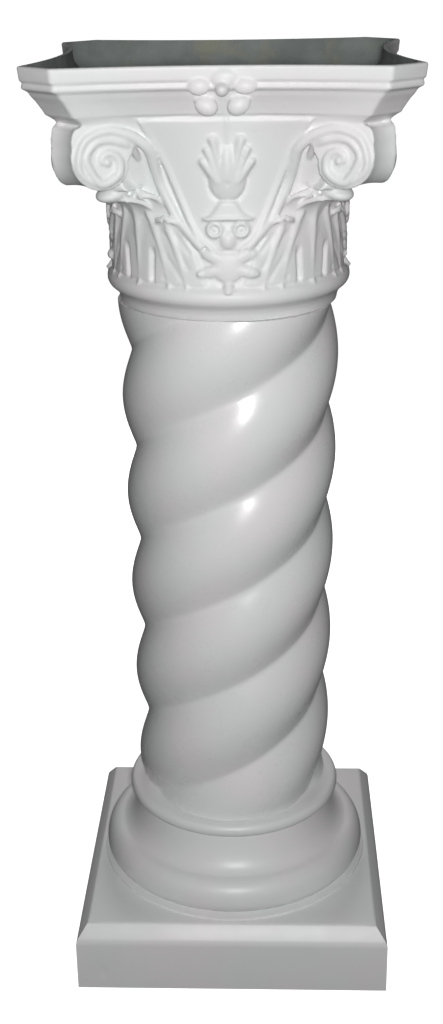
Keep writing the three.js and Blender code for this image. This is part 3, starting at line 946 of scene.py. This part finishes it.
def mirrored(part):
    """A part and its mirror image on the other half of the side."""
    bmesh.ops.mirror(part, geom=part.verts[:] + part.edges[:] + part.faces[:], merge_dist=0, axis="X")
    bmesh.ops.recalc_face_normals(part, faces=part.faces)
    return part


side_carving = bmesh.new()
for part in (
    mirrored(stem_and_rim()),
    mirrored(inner_coil()),
    mirrored(scroll_eye()),
    mirrored(volute_web()),
    mirrored(leaf(*upper_leaf)),
    mirrored(leaf(*lower_leaf)),
    volute_cushion(),
    leaf(*corner_leaf),
    leaf_tip(),
    abacus_flower(),
):
    bmesh.ops.recalc_face_normals(part, faces=part.faces)
    add_to(side_carving, part)
carving = bmesh.new()
add_to(carving, plain_capital())
for quarter in range(4):
    turned = side_carving.copy()
    turning = Matrix.Rotation(quarter * math.pi / 2, 3, "Z")
    bmesh.ops.rotate(turned, cent=(0, 0, 0), matrix=turning, verts=turned.verts)
    add_to(carving, turned)
side_carving.free()
satin = white_gel_coat("white_gel_coat_satin", 0.5)
capital = as_object(carving, "capital_carved", satin, fine_merge, satin)
melt = capital.modifiers.new("melt", "REMESH")
melt.mode = "VOXEL"
melt.voxel_size = voxel
soften = capital.modifiers.new("soften", "SMOOTH")
soften.factor = 0.5
soften.iterations = 3
settled(capital)
thin = capital.modifiers.new("thin", "DECIMATE")
thin.ratio = min(1, finished_triangles / (2 * len(capital.data.polygons)))
settled(capital)


hollow_rows = 24
hollow_columns = 96


def capital_hollow():
    """The inside of the capital: wide open at the top, with a round way through its foot."""
    bore_radius = (shaft_top_radius - groove_depth - seat_ring) / mm
    levels = [capital_foot - 6, capital_foot + 6, capital_foot + 12]
    rise = capital_top + 4 - bell_foot
    levels += [bell_foot + rise * row / hollow_rows for row in range(hollow_rows + 1)]
    body = spun([(0, levels[0]), *[(1, level) for level in levels], (0, levels[-1])], hollow_columns)
    for vert in body.verts:
        if vert.co.xy.length < 0.5:
            continue
        around = math.atan2(vert.co.x, -vert.co.y)
        angle = around - round(around / (math.pi / 2)) * math.pi / 2
        height = min(vert.co.z, capital_top - 2)
        if vert.co.z < capital_foot + 7:
            reach = bore_radius
        elif vert.co.z < bell_foot - 1:
            reach = bell_radius - 2 * capital_wall
        else:
            reach = bell_reach(angle, min(height, bell_top)) - capital_wall
            rim = abacus_reach(angle) - capital_wall
            share = min(1, max(0, (height - bell_top) / (capital_top - 12 - bell_top)))
            reach += (rim - reach) * share
        vert.co.x *= reach
        vert.co.y *= reach
    return body


combine(capital, as_object(capital_hollow(), "capital_hollow", inside, fine_merge, satin), "DIFFERENCE")
capital.data.transform(Matrix.Scale(mm, 4))
finish_piece(capital, "capital", 60)

# Studio
# A plain white floor that sweeps up into a backdrop and shines by itself, a small lamp beside the camera like
# its flash, a wide weak lamp behind the pedestal for the views from there, and a weak sky.
floor_half = 5.0
sweep_start = 2.2
sweep_steps = 12
sweep_stride = 0.16
backdrop_height = 4.0
floor_shine = 0.95
sky_strength = 0.06
camera_azimuth = 0.0291
camera_distance = 1.46212
camera_height = 1.10669
camera_pan = 0.0073
camera_pitch = 0.3864
camera_roll = -0.0135
lens = 50.06
lamp_shift = (0.03, -0.05, 0.02)
lamp_size = 0.10
lamp_power = 16.5
lamp_aim = 0.75
back_lamp_place = (-0.06, 2.0, 0.95)
back_lamp_size = 0.9
back_lamp_power = 18

sweep = bmesh.new()
bmesh.ops.create_grid(sweep, x_segments=1, y_segments=1, size=floor_half)
back_edge = [edge for edge in sweep.edges if all(vert.co.y > 0 for vert in edge.verts)]
for vert in back_edge[0].verts:
    vert.co.y = sweep_start
for step in range(sweep_steps):
    made = bmesh.ops.extrude_edge_only(sweep, edges=back_edge)["geom"]
    verts = [item for item in made if isinstance(item, bmesh.types.BMVert)]
    angle = math.pi / 2 * (step + 1) / sweep_steps
    rise = (0, sweep_stride * math.cos(angle), sweep_stride * math.sin(angle))
    bmesh.ops.translate(sweep, vec=rise, verts=verts)
    back_edge = [item for item in made if isinstance(item, bmesh.types.BMEdge)]
    back_edge = [edge for edge in back_edge if edge.verts[0] in verts and edge.verts[1] in verts]
made = bmesh.ops.extrude_edge_only(sweep, edges=back_edge)["geom"]
top_verts = [item for item in made if isinstance(item, bmesh.types.BMVert)]
bmesh.ops.translate(sweep, vec=(0, 0, backdrop_height), verts=top_verts)
bmesh.ops.recalc_face_normals(sweep, faces=sweep.faces)
floor_mesh = bpy.data.meshes.new("floor")
sweep.to_mesh(floor_mesh)
sweep.free()
paper = Finish("white_paper")
paper.set(Base_Color=(0.93, 0.93, 0.93, 1), Roughness=0.9)
paper.set(Emission_Color=(1, 1, 1, 1), Emission_Strength=floor_shine)
floor_mesh.materials.append(paper.material)
floor_mesh.shade_smooth()
floor = bpy.data.objects.new("floor", floor_mesh)
bpy.context.scene.collection.objects.link(floor)
floor.visible_diffuse = False
floor.visible_glossy = False


def lamp(name, place, target, size, power):
    """A round area lamp at a place, turned to its target."""
    light = bpy.data.lights.new(name, "AREA")
    light.shape = "DISK"
    light.size = size
    light.energy = power
    holder = bpy.data.objects.new(name, light)
    holder.location = place
    holder.rotation_euler = (Vector(target) - Vector(place)).to_track_quat("-Z", "Y").to_euler()
    bpy.context.scene.collection.objects.link(holder)
    return holder


camera_place = Vector((
    camera_distance * math.sin(camera_azimuth), -camera_distance * math.cos(camera_azimuth), camera_height
))
lamp("key", camera_place + Vector(lamp_shift), (0, 0, lamp_aim), lamp_size, lamp_power)
behind = lamp("behind", back_lamp_place, (0, 0, lamp_aim), back_lamp_size, back_lamp_power)
behind.visible_camera = False
behind.visible_glossy = False
world = bpy.data.worlds.new("studio")
world.use_nodes = True
world.node_tree.nodes["Background"].inputs["Color"].default_value = (1, 1, 1, 1)
world.node_tree.nodes["Background"].inputs["Strength"].default_value = sky_strength
bpy.context.scene.world = world
bpy.context.scene.view_settings.view_transform = "Standard"

camera_data = bpy.data.cameras.new("camera")
camera_data.lens = lens
camera_data.sensor_width = 36
camera_data.sensor_fit = "AUTO"
camera = bpy.data.objects.new("camera", camera_data)
heading = Matrix.Rotation(camera_azimuth + camera_pan, 4, "Z")
facing = heading @ Matrix.Rotation(math.pi / 2 - camera_pitch, 4, "X")
camera.matrix_world = Matrix.Translation(camera_place) @ facing @ Matrix.Rotation(camera_roll, 4, "Z")
bpy.context.scene.collection.objects.link(camera)
bpy.context.scene.camera = camera
